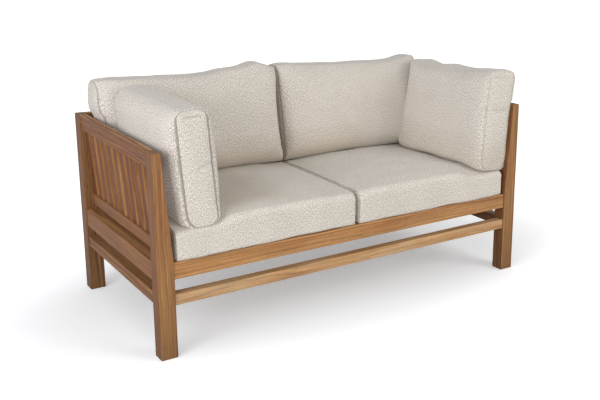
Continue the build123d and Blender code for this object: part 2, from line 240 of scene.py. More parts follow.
def teakMaterial(name, grain, board):
    # growth lines blended with ruddy and golden patches, then each layer of tone in turn
    material, tree = newMaterial(f"oiledTeak_{name}")
    turn = np.add(grains[grain]["turn"], (0, -board["lean"], 0))
    place = addNode(tree, "ShaderNodeTexCoord")
    links = {
        "Vector": place.outputs["Object"],
        "Location": (*board["pith"], board["seed"]),
        "Rotation": turn,
    }
    own = addNode(tree, "ShaderNodeMapping", links)
    patterns = {}
    for word, (wide, long, shift, detail, rough) in teak["patterns"].items():
        links = {
            "Vector": own.outputs[0],
            "Location": (shift, shift * teak["shiftRatio"], 0),
            "Scale": (1 / (wide * mm), 1 / (wide * mm), 1 / (long * mm)),
        }
        stretched = addNode(tree, "ShaderNodeMapping", links)
        links = {"Vector": stretched.outputs[0], "Detail": detail, "Roughness": rough}
        patterns[word] = addNode(tree, "ShaderNodeTexNoise", {**links, "Scale": 1.0})
    lines = growthLines(tree, own.outputs[0], patterns, board["bold"])
    patchTone = addNode(
        tree,
        "ShaderNodeValToRGB",
        {"Fac": patterns["patch"].outputs["Fac"]},
        stops=list(zip(teak["patchSpan"], board["patches"])),
    )
    body = addNode(
        tree,
        "ShaderNodeMix",
        {0: teak["patchShare"] / board["bold"], 6: lines.outputs[0], 7: patchTone.outputs[0]},
        data_type="RGBA",
    )
    turned = addNode(
        tree,
        "ShaderNodeMapping",
        {"Vector": place.outputs["Normal"], "Rotation": turn},
        vector_type="NORMAL",
    )
    turnedParts = addNode(tree, "ShaderNodeSeparateXYZ", {0: turned.outputs[0]})
    endOn = addNode(tree, "ShaderNodeMath", {0: turnedParts.outputs[2]}, operation="ABSOLUTE")
    facing = addNode(tree, "ShaderNodeSeparateXYZ", {0: place.outputs["Normal"]})
    sideOn = addNode(tree, "ShaderNodeMath", {0: facing.outputs[0]}, operation="ABSOLUTE")
    position = addNode(tree, "ShaderNodeSeparateXYZ", {0: place.outputs["Object"]})
    fibre, streak, pore = (patterns[word].outputs["Fac"] for word in ("fibre", "streak", "pore"))
    shade, dark = board["shade"], linear(teak["pore"])
    # Each layer: a value, the span of it that counts, what the span's ends become, and how that
    # is used: None scales the colour by it, otherwise it is the share of a blend with a colour.
    layers = {
        "fibre": (fibre, teak["fibreSpan"], teak["fibreTone"], None),
        "streak": (streak, teak["streakSpan"], teak["streakTone"], None),
        "pore": (pore, teak["poreSpan"], teak["poreShare"], ("MIX", dark)),
        # end grain drinks more oil, so faces across the grain are darker
        "end": (endOn.outputs[0], teak["endSpan"], (shade, shade * teak["endShade"]), None),
        # painted shade: the outer and inner side faces are drawn darker than the fronts, and the
        # legs darker towards the foot
        "side": (sideOn.outputs[0], teak["sideSpan"], (0.0, 1.0), ("MULTIPLY", board["paintedSideShade"])),
        "foot": (position.outputs[2], (0.0, board["footHigh"]), (board["footShade"], 1.0), None),
    }
    if board["knot"]:  # a dark eye
        away = addNode(
            tree,
            "ShaderNodeVectorMath",
            {0: place.outputs["Object"], 1: board["knot"]["place"]},
            operation="DISTANCE",
        )
        size = board["knot"]["size"]
        span = (size * teak["knotRim"], size)
        layers["knot"] = (away.outputs["Value"], span, (teak["knotShare"], 0.0), ("MIX", dark))
    colour, shares = body.outputs[2], {}
    for word, (value, span, ends, other) in layers.items():
        links = {"Value": value, 1: span[0], 2: span[1], 3: ends[0], 4: ends[1]}
        shares[word] = addNode(tree, "ShaderNodeMapRange", links).outputs[0]
        if other:
            links = {0: shares[word], 6: colour, 7: other[1]}
            mixed = addNode(tree, "ShaderNodeMix", links, data_type="RGBA", blend_type=other[0])
            colour = mixed.outputs[2]
        else:
            links = {0: colour, "Scale": shares[word]}
            colour = addNode(tree, "ShaderNodeVectorMath", links, operation="SCALE").outputs[0]
    relief = addNode(
        tree,
        "ShaderNodeMath",
        {0: shares["pore"], 1: -teak["poreDeep"], 2: fibre},
        operation="MULTIPLY_ADD",
    )
    bump = addNode(
        tree,
        "ShaderNodeBump",
        {"Height": relief.outputs[0], "Strength": teak["bump"], "Distance": teak["bumpHigh"]},
    )
    (low, high), (rough, smooth) = teak["fibreSpan"], teak["roughness"]
    links = {"Value": fibre, 1: low, 2: high, 3: rough, 4: smooth}
    dull = addNode(tree, "ShaderNodeMapRange", links)
    links = {
        "Base Color": colour,
        "Roughness": dull.outputs[0],
        "Specular IOR Level": teak["gloss"],
        "Normal": bump.outputs[0],
    }
    shader = addNode(tree, "ShaderNodeBsdfPrincipled", links)
    addNode(tree, "ShaderNodeOutputMaterial", {"Surface": shader.outputs[0]})
    return material


# A board is named by its node, or by its group of nodes
frameWood = {
    "uprights": ("leg_", "_slat_", "back_slats", "back_centre_stile"),  # their grain runs up
    "shade": 0.8,
    "shadeSpread": (0.95, 1.05),
    "shades": {
        "front_seat_rail": 1.03,
        "front_stretcher": 1.06,
        "leg_front_left": 0.74,
        "leg_front_right": 0.74,
        "leg_back_left": 0.62,
        "left_arm_top_rail": 0.9,
        "left_stretcher": 0.86,
        # lighter overall, so that beside their painted side shade the slats' front edges show as
        # painted highlights
        "left_arm_slat": 1.12,
    },
    # painted shade: faces that look along X are scaled by this colour, and the groups listed next
    # darker still
    "paintedSideShade": (0.58, 0.48, 0.41),
    "paintedSideShadeByGroup": {"left_arm_slat": (0.48, 0.32, 0.08), "left_arm_top": (0.86, 0.76, 0.66)},
    "palerPatches": {"front_stretcher": ("#B98D5E", "#D9BF98")},
    "bolderLines": {"left_arm_top_rail": 3.0, "left_stretcher": 1.5, "leg_back_left": 1.5},
    "footShade": 0.74,  # how far painted shade darkens the legs towards the foot, and from how high
    "footHigh": 230 * mm,
    "knots": {"left_arm_slat_05": {"place": (-763 * mm, -68 * mm, 461 * mm), "size": 8 * mm}},
    "pithAway": 75 * mm,
    "seedReach": 5.0,
    "seed": 7,
}


def grainOf(node):
    # along Y from front to back, up the uprights, and along X from end to end
    if node == "seat_slats" or node.startswith(("left_", "right_")) and "_slat_" not in node:
        return "Y"
    if any(word in node for word in frameWood["uprights"]):
        return "Z"
    return "X"


def dressFrame():
    picker = np.random.default_rng(frameWood["seed"])
    for node in sorted(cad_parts):
        if "cushion" in node or node == "seat_screws":
            continue
        angle = picker.uniform(0, 2 * pi)
        grain = grains[grainOf(node)]
        middle = np.mean(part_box(node), axis=0)
        beside = frameWood["pithAway"] * np.array([cos(angle), sin(angle)])
        group = node.rpartition("_")[0]
        shade = frameWood["shades"].get(node, frameWood["shades"].get(group, frameWood["shade"]))
        darker = frameWood["paintedSideShadeByGroup"].get(group, (1, 1, 1))
        board = {
            "pith": grain["signs"] * middle[grain["across"]] + beside,
            "seed": picker.uniform(0, frameWood["seedReach"]),
            "shade": shade * picker.uniform(*frameWood["shadeSpread"]),
            "paintedSideShade": [a * b for a, b in zip(frameWood["paintedSideShade"], darker)] + [1],
            "patches": frameWood["palerPatches"].get(node, teak["patches"]),
            "bold": frameWood["bolderLines"].get(node, 1.0),
            "footShade": frameWood["footShade"] if node.startswith("leg_") else 1.0,
            "footHigh": frameWood["footHigh"],
            "lean": hands[node.partition("_")[0]] * legLean if "_arm_slat_" in node else 0.0,
            "knot": frameWood["knots"].get(node),
        }
        wear(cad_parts[node], teakMaterial(node, grainOf(node), board))


dressFrame()
print("teak on the frame")


# Zinc-plated steel, turned and threaded: a cool grey with a soft broken gloss
screwLook = {
    "mottles": 900.0,  # in a metre
    "detail": 2.0,
    "tones": ("#A9ABAC", "#C9CACB"),
    "toneSpan": (0.3, 0.7),
    "roughness": (0.3, 0.5),
}


def screwMaterial():
    material, tree = newMaterial("zincPlatedSteel_screws")
    place = addNode(tree, "ShaderNodeTexCoord")
    links = {"Vector": place.outputs["Object"], "Scale": screwLook["mottles"]}
    mottle = addNode(tree, "ShaderNodeTexNoise", {**links, "Detail": screwLook["detail"]})
    tone = addNode(
        tree,
        "ShaderNodeValToRGB",
        {"Fac": mottle.outputs["Fac"]},
        stops=list(zip(screwLook["toneSpan"], screwLook["tones"])),
    )
    least, most = screwLook["roughness"]
    links = {"Value": mottle.outputs["Fac"], "To Min": least, "To Max": most}
    dull = addNode(tree, "ShaderNodeMapRange", links)
    shader = addNode(
        tree,
        "ShaderNodeBsdfPrincipled",
        {"Base Color": tone.outputs[0], "Metallic": 1.0, "Roughness": dull.outputs[0]},
    )
    addNode(tree, "ShaderNodeOutputMaterial", {"Surface": shader.outputs[0]})
    return material


wear(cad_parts["seat_screws"], screwMaterial())
print("screws dressed")


# Woven outdoor acrylic: matt melange yarns, cream to stone, so the cloth reads as flecked.
# The yarns are drawn about half as thick again as the real 1.5 mm, so that they show.
clothLook = {
    "yarnWide": 2.3 * mm,
    "fleckLong": 5.2 * mm,
    "fleckDetail": 3.0,
    "fleckRough": 0.7,
    "warpShare": 0.34,  # how much of the weft shows between the flecks of the warp
    "yarns": ("#9A9082", "#D0C8BE", "#F8F4EE"),
    "yarnSpan": (0.38, 0.5, 0.62),
    "cloudWide": 70 * mm,
    "cloudDetail": 2.0,
    "cloudSpan": (0.3, 0.7),
    "cloudTone": (0.97, 1.025),
    # the colour that the painted shade multiplies in where the cushions meet
    "paintedShadeTint": "#DDD6C9",
    # painted shade along the seams and the stitched line
    "seam": "#776D5F",
    "bump": 0.2,
    "bumpHigh": 0.7 * mm,
    "roughness": 0.94,
    "sheen": 0.2,
    "sheenRough": 0.5,
}


def clothMaterial():
    # one noise stretched along the warp and one along the weft, blended and read as yarn colours
    material, tree = newMaterial("wovenAcrylic_cushions")
    weave = addNode(tree, "ShaderNodeUVMap", uv_map="weave")
    flecks = []
    wide, long = clothLook["yarnWide"], clothLook["fleckLong"]
    for across, up in ((wide, long), (long, wide)):
        links = {"Vector": weave.outputs[0], "Scale": (1 / across, 1 / up, 1)}
        stretched = addNode(tree, "ShaderNodeMapping", links)
        links = {
            "Vector": stretched.outputs[0],
            "Scale": 1.0,
            "Detail": clothLook["fleckDetail"],
            "Roughness": clothLook["fleckRough"],
        }
        noise = addNode(tree, "ShaderNodeTexNoise", links, noise_dimensions="2D")
        flecks.append(noise.outputs["Fac"])
    links = {0: clothLook["warpShare"], 2: flecks[0], 3: flecks[1]}
    warpWeft = addNode(tree, "ShaderNodeMix", links, data_type="FLOAT")
    stops = list(zip(clothLook["yarnSpan"], clothLook["yarns"]))
    yarns = addNode(tree, "ShaderNodeValToRGB", {"Fac": warpWeft.outputs[0]}, stops=stops)
    place = addNode(tree, "ShaderNodeTexCoord")
    links = {"Vector": place.outputs["Object"], "Scale": 1 / clothLook["cloudWide"]}
    cloud = addNode(tree, "ShaderNodeTexNoise", {**links, "Detail": clothLook["cloudDetail"]})
    (low, high), (least, most) = clothLook["cloudSpan"], clothLook["cloudTone"]
    links = {"Value": cloud.outputs["Fac"], 1: low, 2: high, 3: least, 4: most}
    cloudTone = addNode(tree, "ShaderNodeMapRange", links)
    links = {0: yarns.outputs[0], "Scale": cloudTone.outputs[0]}
    colour = addNode(tree, "ShaderNodeVectorMath", links, operation="SCALE").outputs[0]
    # first the painted shade from the shaded attribute, then the painted seam shade
    for attribute, blend, other in (("shaded", "MULTIPLY", "paintedShadeTint"), ("seam", "MIX", "seam")):
        share = addNode(tree, "ShaderNodeAttribute", attribute_name=attribute)
        links = {0: share.outputs["Fac"], 6: colour, 7: linear(clothLook[other])}
        mixed = addNode(tree, "ShaderNodeMix", links, data_type="RGBA", blend_type=blend)
        colour = mixed.outputs[2]
    links = {
        "Height": warpWeft.outputs[0],
        "Strength": clothLook["bump"],
        "Distance": clothLook["bumpHigh"],
    }
    bump = addNode(tree, "ShaderNodeBump", links)
    links = {
        "Base Color": colour,
        "Roughness": clothLook["roughness"],
        "Sheen Weight": clothLook["sheen"],
        "Sheen Roughness": clothLook["sheenRough"],
        "Normal": bump.outputs[0],
    }
    shader = addNode(tree, "ShaderNodeBsdfPrincipled", links)
    addNode(tree, "ShaderNodeOutputMaterial", {"Surface": shader.outputs[0]})
    return material


# Cushion covers. Each is one closed grid: its cloth is wrapped round a profile, and a panel
# is sewn in at each end. Columns run round the profile. Rows run from the middle of the first
# panel out to its seam, along the wrapped body, and in to the middle of the last panel.
# Own axes, in metres: a through the thickness, b up the height and t along the length.
sewing = {
    "nearSeam": np.array([0, 0.8, 1.6, 2.4, 3.4, 5, 7.5, 11, 16, 21, 22.5, 24, 32]) * mm,
    "panelRows": 12,
    "rowStep": 7 * mm,
    "columnStep": 5 * mm,
    "cornerSteps": 5,  # at least
    "panelCurve": (2, 0.6),
    "grooveWide": 1.5 * mm,
    "grooveDeep": 1.6 * mm,
    "ridgeAway": 4.2 * mm,
    "ridgeWide": 3.0 * mm,
    "ridgeHigh": 0.7 * mm,
    "lineWide": 1.1 * mm,  # the shadowed line where two cloths meet
    "lineDark": 0.75,
    "stitchAway": 22.5 * mm,  # from a panel's seam to the line stitched along its top
    "puckerLong": 30 * mm,
    "puckerReach": 14 * mm,
    "puckerHigh": 0.7 * mm,
    "waves": ((210 * mm, 1.7 * mm), (85 * mm, 0.6 * mm)),  # length and height
    "waveReach": 30 * mm,
    "waveSeed": 10,  # how far above the cushion's own seed
    "sines": 7,
    "sineSpread": (0.6, 1.5),
    "topFacing": 0.9,  # how far a normal points up, at least, on a panel's top side
    "frontFacing": 0.5,  # and along t on the front panel
    "liftShare": 0.25,  # how far the fuller profile is raised, of the height that the ends lack
}
# What a cushion has unless its own settings say otherwise. Each kind of cushion below is made
# of these, of its own settings and of what is worked out for it, and the later ones hold.
plainCushion = {
    "fullShift": (0.0, 0.0),  # of the fuller profile, along a and b
    "thinning": (0.0, 0.0),  # of the fuller profile, at its bottom and top
    "wedge": (0.0, 0.0),  # of the end profile, and of the fuller one
    "endPull": (0.0, 0.0),  # how far the low and the high end of t are drawn in at mid height
    "endLean": (0.0, 0.0),  # how far each of them leans out per rise
    "topWaves": [],
    "lowWaves": [],
    "crease": None,
    "stitched": False,
    "seamShare": 1.0,  # how deep the seams are, and how dark their painted shade is
}


def softNoise(points, size, seed):
    # a sum of a few sine waves in seeded directions, each about one size long
    picker = np.random.default_rng(seed)
    total = np.zeros(points.shape[:-1])
    for _ in range(sewing["sines"]):
        way = picker.normal(size=points.shape[-1])
        way *= 2 * pi / size / np.linalg.norm(way) * picker.uniform(*sewing["sineSpread"])
        total += np.sin(points @ way + picker.uniform(0, 2 * pi))
    return total / sewing["sines"] ** 0.5


def plateau(x, flat, steep):
    # one less a power of the distance from the middle, raised to a root: flat, then steep
    return np.clip(1 - np.abs(x) ** flat, 0, 1) ** steep


def ease(value, start, end):
    # nought before the start, one after the end, and a cubic between them
    share = np.clip((value - start) / (end - start), 0, 1)
    return share**2 * (3 - 2 * share)


def bell(x):
    # e to the power of minus the square
    return np.exp(-(x**2))


def roundedOutline(size, radii, steps=None):
    # four corner arcs joined by straight sides, anticlockwise from the right-hand side. steps
    # counts the points of each arc and side, so that two outlines can be blended.
    signs = np.array([(1, 1), (-1, 1), (-1, -1), (1, -1)])
    middles = signs * (np.array(size) / 2 - np.array(radii)[:, None])
    following = np.roll(middles, -1, 0)
    if steps is None:
        column, least = sewing["columnStep"], sewing["cornerSteps"]
        arcs = [max(least, int(radius * pi / 2 / column)) for radius in radii]
        runs = [int(run / column) for run in np.linalg.norm(following - middles, axis=1)]
        steps = list(zip(arcs, runs))
    points, normals = [], []
    for index, (arc, run) in enumerate(steps):
        turn = index * pi / 2 + np.linspace(0, pi / 2, arc + 1)
        normal = np.stack([np.cos(turn), np.sin(turn)], 1)
        corner = middles[index] + radii[index] * normal
        nextCorner = following[index] + radii[(index + 1) % 4] * normal[-1]
        share = np.linspace(0, 1, run + 1)[1:-1, None]
        points += [corner, corner[-1] + (nextCorner - corner[-1]) * share]
        normals += [normal, np.repeat(normal[-1:], run - 1, 0)]
    return np.concatenate(points), np.concatenate(normals), steps


def cushionMesh(name, points, weave, marks):
    # points is rows by columns by 3, and its first and last rows are single points. weave has
    # one column more, which closes the cloth round the profile.
    columns = points.shape[1]
    corners = np.concatenate([points[:1, 0], points[1:-1].reshape(-1, 3), points[-1:, 0]])
    column = np.arange(columns)
    after = (column + 1) % columns
    row = 1 + np.arange(points.shape[0] - 3)[:, None] * columns
    here, there = row + column, row + after
    quads = np.stack([here, here + columns, there + columns, there], 2).reshape(-1, 4)
    last = len(corners) - 1
    rim = last - columns
    firstFan = np.stack([0 * column, 1 + column, 1 + after], 1)
    lastFan = np.stack([rim + column, 0 * column + last, rim + after], 1)
    mesh = bpy.data.meshes.new(name)
    mesh.from_pydata(corners.tolist(), [], firstFan.tolist() + quads.tolist() + lastFan.tolist())
    inner = weave[1:-1]
    flat = [
        np.stack([weave[0, :-1], inner[0, :-1], inner[0, 1:]], 1),
        np.stack([inner[:-1, :-1], inner[1:, :-1], inner[1:, 1:], inner[:-1, 1:]], 2),
        np.stack([inner[-1, :-1], weave[-1, :-1], inner[-1, 1:]], 1),
    ]
    flat = np.concatenate([part.reshape(-1, 2) for part in flat])
    mesh.uv_layers.new(name="weave").data.foreach_set("uv", flat.astype(np.float32).ravel())
    for label, mark in marks.items():
        mark = np.concatenate([mark[:1, 0], mark[1:-1].ravel(), mark[-1:, 0]]).astype(np.float32)
        mesh.attributes.new(label, "FLOAT", "POINT").data.foreach_set("value", mark)
    mesh.polygons.foreach_set("use_smooth", np.ones(len(mesh.polygons), bool))
    piece = bpy.data.objects.new(name, mesh)
    bpy.context.collection.objects.link(piece)
    return piece


def gridNormals(points):
    # the cross product of the steps along a column and round a row
    along = np.gradient(points, axis=0)
    around = np.roll(points, -1, 1) - np.roll(points, 1, 1)
    normal = np.cross(along, around)
    size = np.linalg.norm(normal, axis=2, keepdims=True)
    return normal / np.maximum(size, 1e-12)


def clothRows(reach, length):
    # how far along the body each row lies, how large its ring is beside the whole profile, and
    # whether it is on the body. reach is how far each column stands from the profile's middle.
    near = sewing["nearSeam"]
    rim = 1 - near[:, None] / reach
    share = np.linspace(1, 0, sewing["panelRows"] + 1)[1:, None]
    panel = np.concatenate([rim, rim[-1:] * share])
    between = length - 2 * near[-1]
    middle = near[-1] + np.linspace(0, between, int(between / sewing["rowStep"]))[1:-1]
    run = np.concatenate([near[1:], middle, (length - near[1:])[::-1]])
    scale = np.concatenate([panel[::-1], np.ones((len(run), len(reach))), panel])
    along = np.concatenate([np.zeros(len(panel)), run, np.full(len(panel), length)])[:, None]
    onBody = np.zeros(along.shape, bool)
    onBody[len(panel) : -len(panel)] = True
    return along, scale, onBody


def cushionBody(kind, ends, full, along, scale):
    # the end profile is blended into the fuller one by a plateau along the length. A panel is
    # the end profile shrunk to its middle and swollen out. s runs from 1 down to -1 along the
    # length, and y from -1 up to 1 over the height.
    halfB, length = kind["fullSize"][1] / 2, kind["length"]
    s = 1 - 2 * along / length
    fullness = plateau(s, kind["flat"], kind["steep"])[..., None]
    profile = ends + (full - ends) * fullness
    a, b = scale * profile[..., 0], scale * profile[..., 1]
    y = np.clip(b / halfB, -1, 1)
    swell, pull = (np.where(s > 0, *kind[key][::-1]) for key in ("panelSwell", "endPull"))
    t = length / 2 - along + np.sign(s) * swell * plateau(scale, *sewing["panelCurve"])
    t -= np.sign(s) * np.abs(s) ** 3 * pull * (1 - y**2)
    for where, wide, rise in kind["topWaves"]:  # ears and sags along the top
        b = b + rise * bell((t - where) / wide) * np.clip(y, 0, 1) ** 3
    for where, wide, drop in kind["lowWaves"]:  # where the bottom hangs lower
        b = b - drop * bell((t - where) / wide) * np.clip(-y, 0, 1) ** 3
    lean = np.where(s > 0, kind["endLean"][1], -kind["endLean"][0])
    return np.stack([a, b, t + np.abs(s) * (b + halfB) * lean], 2)


def sewnRelief(kind, points, ends, gap, topSide):
    # how far the cloth is lifted and how dark its painted seam shade is, by its gap from the
    # nearer seam.
    # Puckers fade with the gap and waves grow with it. A seam is a bell-curve groove with a
    # ridge beside it, and a line may be stitched along a panel's top side.
    pucker = softNoise(ends, sewing["puckerLong"], kind["seed"]) * sewing["puckerHigh"]
    lift = pucker * np.exp(-gap / sewing["puckerReach"])
    for step, (long, high) in enumerate(sewing["waves"]):
        wave = softNoise(points, long, kind["seed"] + sewing["waveSeed"] + step) * high
        lift += wave * (1 - np.exp(-gap / sewing["waveReach"]))
    lift -= sewing["grooveDeep"] * kind["seamShare"] * bell(gap / sewing["grooveWide"])
    lift += sewing["ridgeHigh"] * bell((gap - sewing["ridgeAway"]) / sewing["ridgeWide"])
    stitched = bell((gap - sewing["stitchAway"]) / sewing["lineWide"]) * topSide
    lift -= sewing["ridgeHigh"] * stitched
    mark = np.maximum(bell(gap / sewing["lineWide"]), stitched)
    return lift, mark * sewing["lineDark"] * kind["seamShare"]


def addCrease(points, ups, mark, crease):
    # a valley across the front panel, darkened by painted shade: a bell curve of the distance from
    # its line, and another of the square of the way along it
    way = np.array([1, crease["rise"]]) / np.hypot(1, crease["rise"])
    offset = points[..., :2] - crease["middle"]
    along = offset @ way
    away = np.linalg.norm(offset - along[..., None] * way, axis=2)
    dip = bell(away / crease["wide"]) * bell((along / crease["halfLong"]) ** 2)
    dip *= ups[..., 2] > sewing["frontFacing"]
    points = points - ups * (dip * crease["deep"])[..., None]
    return points, np.maximum(mark, dip * crease["dark"])


def wrappedSurface(kind):
    # the fuller profile is thinner towards its top and bottom, and the low a side of both
    # profiles leans in as a wedge
    ends, normals, steps = roundedOutline(kind["endSize"], kind["endRadii"])
    full = roundedOutline(kind["fullSize"], kind["fullRadii"], steps)[0]
    height = full[:, 1] / (kind["fullSize"][1] / 2)
    full[:, 0] *= 1 - np.where(height < 0, *kind["thinning"]) * height**2
    for outline, wedge in zip((ends, full), kind["wedge"]):
        height = outline[:, 1] / (kind["fullSize"][1] / 2)
        outline[:, 0] *= 1 - wedge * (outline[:, 0] < 0) * height
    full += kind["fullShift"]
    reach = np.sum(ends * normals, 1)
    along, scale, onBody = clothRows(reach, kind["length"])
    points = cushionBody(kind, ends, full, along, scale)
    ups = gridNormals(points)
    gap = np.where(onBody, np.minimum(along, kind["length"] - along), (1 - scale) * reach)
    topSide = (normals[:, 1] > sewing["topFacing"]) * (kind["stitched"] * ~onBody)
    lift, mark = sewnRelief(kind, points, ends, gap, topSide)
    points = points + ups * lift[..., None]
    if kind["crease"]:
        points, mark = addCrease(points, ups, mark, kind["crease"])
    # the weave is laid out along and around the body, and flat on a panel
    around = np.linalg.norm(np.diff(full, axis=0, append=full[:1]), axis=1)
    around = np.concatenate([[0], np.cumsum(around)])
    wrapped = np.stack(np.broadcast_arrays(along, around), 2)
    laidFlat = np.concatenate([points[..., :2], points[:, :1, :2]], 1)
    return points, np.where(onBody[..., None], wrapped, laidFlat), mark


print("cushion formulas ready")


clearance = 0.4 * mm  # between a cushion and what it rests on
# The seat cushions: wrapped over the front, with their seams along the sides, and crowned
# where they are sat on but pressed flat under the arm and back cushions
seatPad = {
    "thick": 124 * mm,
    "radii": [20 * mm, 26 * mm, 10 * mm, 10 * mm],
    "softEnd": (14 * mm, 3 * mm),  # how much smaller the end panels are, in depth and height
    "panelSwell": 9 * mm,
    "flat": 30.0,
    "steep": 0.5,
    "crown": 27 * mm,
    "crownAcross": (2.2, 1.0),  # the powers of its plateaus, across the seat and from the front
    "crownDeep": (2.6, 0.75),
    "pressedFrom": {"arm": 597 * mm, "back": 205 * mm},  # where the other cushions stand
    "cornerPress": 24 * mm,  # how far the arm cushion's front end sinks into the seat
    "cornerFrom": (500 * mm, 570 * mm),
    "cornerDeep": 60 * mm,
    "backPress": 8 * mm,  # how far the back cushion sinks in, and how soon in front of it
    "backReach": 40 * mm,
    "seed": 40,
}


def seatTopAt(x, y, side):
    # two plateaus multiplied give the crown; the front edge falls away in a quarter circle
    low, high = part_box(f"seat_cushion_cover_{side}")
    outwards, fromFront = x * hands[side], y - low[1]
    arm, back = seatPad["pressedFrom"]["arm"], seatPad["pressedFrom"]["back"]
    across = np.clip(outwards / arm, 0, 1) * 2 - 1
    deep = np.clip(fromFront / (back - low[1]), 0, 1) * 2 - 1
    crown = plateau(across, *seatPad["crownAcross"]) * plateau(deep, *seatPad["crownDeep"])
    corner = ease(outwards, *seatPad["cornerFrom"]) * bell(fromFront / seatPad["cornerDeep"])
    sunk = ease(y, back - seatPad["backReach"], back)
    radius = seatPad["radii"][1]
    beyond = np.clip(1 - fromFront / radius, 0, 1)
    rounding = radius * (1 - np.sqrt(1 - beyond**2))
    s = 2 * (x - low[0]) / (high[0] - low[0]) - 1
    softEnd = seatPad["softEnd"][1] / 2 * (1 - plateau(s, seatPad["flat"], seatPad["steep"]))
    risen = crown * seatPad["crown"]
    pressed = corner * seatPad["cornerPress"] + sunk * seatPad["backPress"]
    return low[2] + seatPad["thick"] + risen - pressed - rounding - softEnd


def makeSeatPad(side):
    # the wrapped body lies with t along X, and is lifted to the crown by the square of the height
    low, high = (np.array(corner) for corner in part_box(f"seat_cushion_cover_{side}"))
    thick = seatPad["thick"]
    middle = np.array([*(low + high)[:2] / 2, low[2] + thick / 2])
    fullSize = np.array([high[1] - low[1], thick])
    kind = {
        **plainCushion,
        **seatPad,
        "endSize": fullSize - seatPad["softEnd"],
        "endRadii": seatPad["radii"],
        "fullSize": fullSize,
        "fullRadii": seatPad["radii"],
        "length": high[0] - low[0] - 2 * seatPad["panelSwell"],
        "panelSwell": (seatPad["panelSwell"],) * 2,
        "seed": seatPad["seed"] + hands[side],
    }
    local, weave, mark = wrappedSurface(kind)
    x, y, z = np.moveaxis(middle + local[..., [2, 0, 1]], 2, 0)
    height = np.clip((z - low[2]) / thick, 0, 1)
    crown = seatTopAt(x, np.maximum(y, low[1] + seatPad["radii"][1]), side) - low[2] - thick
    z = np.maximum(z + crown * height**2, low[2])
    return np.stack([np.clip(x, low[0], high[0]), np.minimum(y, high[1]), z], 2), weave, mark


def stand(points, side):
    # lifts what would sink into the seat, so that a cushion lies flat on it
    seatTop = seatTopAt(points[..., 0], points[..., 1], side) + clearance
    beyondSeat = points[..., 1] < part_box(f"seat_cushion_cover_{side}")[0][1]
    points[..., 2] = np.where(beyondSeat, points[..., 2], np.maximum(points[..., 2], seatTop))
    return points


# The back cushions: an upright wrapped body that stands on the seat, in front of the slats.
# A wave along the top is (place along X, width, rise).
backPad = {
    "boxing": 130 * mm,
    "height": (380 * mm, 391 * mm),  # at the end panels, and between them
    "crowns": (66 * mm, 44 * mm),  # front and rear
    "rearSeam": 42 * mm,
    "endRadii": [36 * mm, 36 * mm, 24 * mm, 24 * mm],
    "fullRadii": [62 * mm, 62 * mm, 84 * mm, 24 * mm],
    "flat": 10.0,
    "steep": 0.5,
    "thinning": (0.14, 0.32),
    "wedge": (0.5, 0.26),  # at the ends, and between them
    "panelSwell": (3 * mm, 13 * mm),  # at the joint of the two cushions, and at the arms
    "endPull": {"left": (20 * mm, 9 * mm), "right": (2 * mm, 9 * mm)},  # at the same ends
    "seamShare": 0.8,
    "seed": 11,
    "topWaves": {
        "left": [
            (-90 * mm, 70 * mm, 26 * mm),
            (-220 * mm, 65 * mm, 13 * mm),
            (-330 * mm, 140 * mm, -5 * mm),
            (-700 * mm, 140 * mm, 11 * mm),
            (-770 * mm, 30 * mm, -14 * mm),
        ],
        "right": [
            (40 * mm, 80 * mm, 13 * mm),
            (280 * mm, 110 * mm, -4 * mm),
            (540 * mm, 140 * mm, -15 * mm),
            (700 * mm, 55 * mm, 9 * mm),
        ],
    },
    "wholeLength": 2.0,  # a wave as wide as this is level from end to end
    "fromLeg": 3 * mm,
    "farEnd": {"left": (0.0, legTaper["run"]), "right": (6 * mm, 0.0)},  # set in, leaning out
    "overRail": {"left": 12 * mm, "right": 0.0},  # how far the far end hangs over the arm's rail
    "railEdge": 25 * mm,  # over this height it comes out from the rail
    "hangHigh": (38 * mm, 55 * mm),  # how far above the rail it hangs out most, and its spread
    "hangReach": 120 * mm,
}


def makeBackPad(side):
    # the wrapped body stands with t along X. Over the arm's rail its far end hangs out, by a
    # bell curve of the height times the square of how near the end is.
    hand = hands[side]
    low, high = (np.array(corner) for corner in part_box(f"back_cushion_cover_{side}"))
    setIn, leanOut = backPad["farEnd"][side]
    legFace = legTaper["foot"] + (low[2] - legTaper["level"]) * legTaper["run"]
    far = legFace - backPad["fromLeg"] - setIn
    swell, pull = backPad["panelSwell"], backPad["endPull"][side]
    middleX = hand * (clearance + swell[0] + far - swell[1]) / 2
    front, rear = backPad["crowns"]
    endHigh, fullHigh = backPad["height"]
    kind = {
        **plainCushion,
        **backPad,
        "endSize": (backPad["boxing"], endHigh),
        "fullSize": (backPad["boxing"] + front + rear, fullHigh),
        "fullShift": ((rear - front) / 2, (fullHigh - endHigh) * sewing["liftShare"]),
        "length": far - clearance - sum(swell),
        "panelSwell": swell[::hand],
        "endPull": pull[::hand],
        "endLean": (leanOut, 0.0)[::-hand],
        "topWaves": [(x - middleX, wide, rise) for x, wide, rise in backPad["topWaves"][side]],
        "lowWaves": [(0, backPad["wholeLength"], seatPad["backPress"])],
        "seed": backPad["seed"] + hand,
    }
    local, weave, mark = wrappedSurface(kind)
    middleY = high[1] - backPad["rearSeam"] - backPad["boxing"] / 2
    middle = np.array([middleX, middleY, low[2] + fullHigh / 2])
    x, y, z = np.moveaxis(middle + local[..., [2, 0, 1]], 2, 0)
    aboveRail = z - legTaper["top"]
    above, spread = backPad["hangHigh"]
    hang = np.clip(aboveRail / backPad["railEdge"], 0, 1) * bell((aboveRail - above) / spread)
    hang *= np.clip((x * hand - far) / backPad["hangReach"] + 1, 0, 1) ** 2
    x = hand * np.maximum(x * hand + backPad["overRail"][side] * hang, clearance)
    return stand(np.stack([x, np.minimum(y, high[1]), z], 2), side), weave, mark


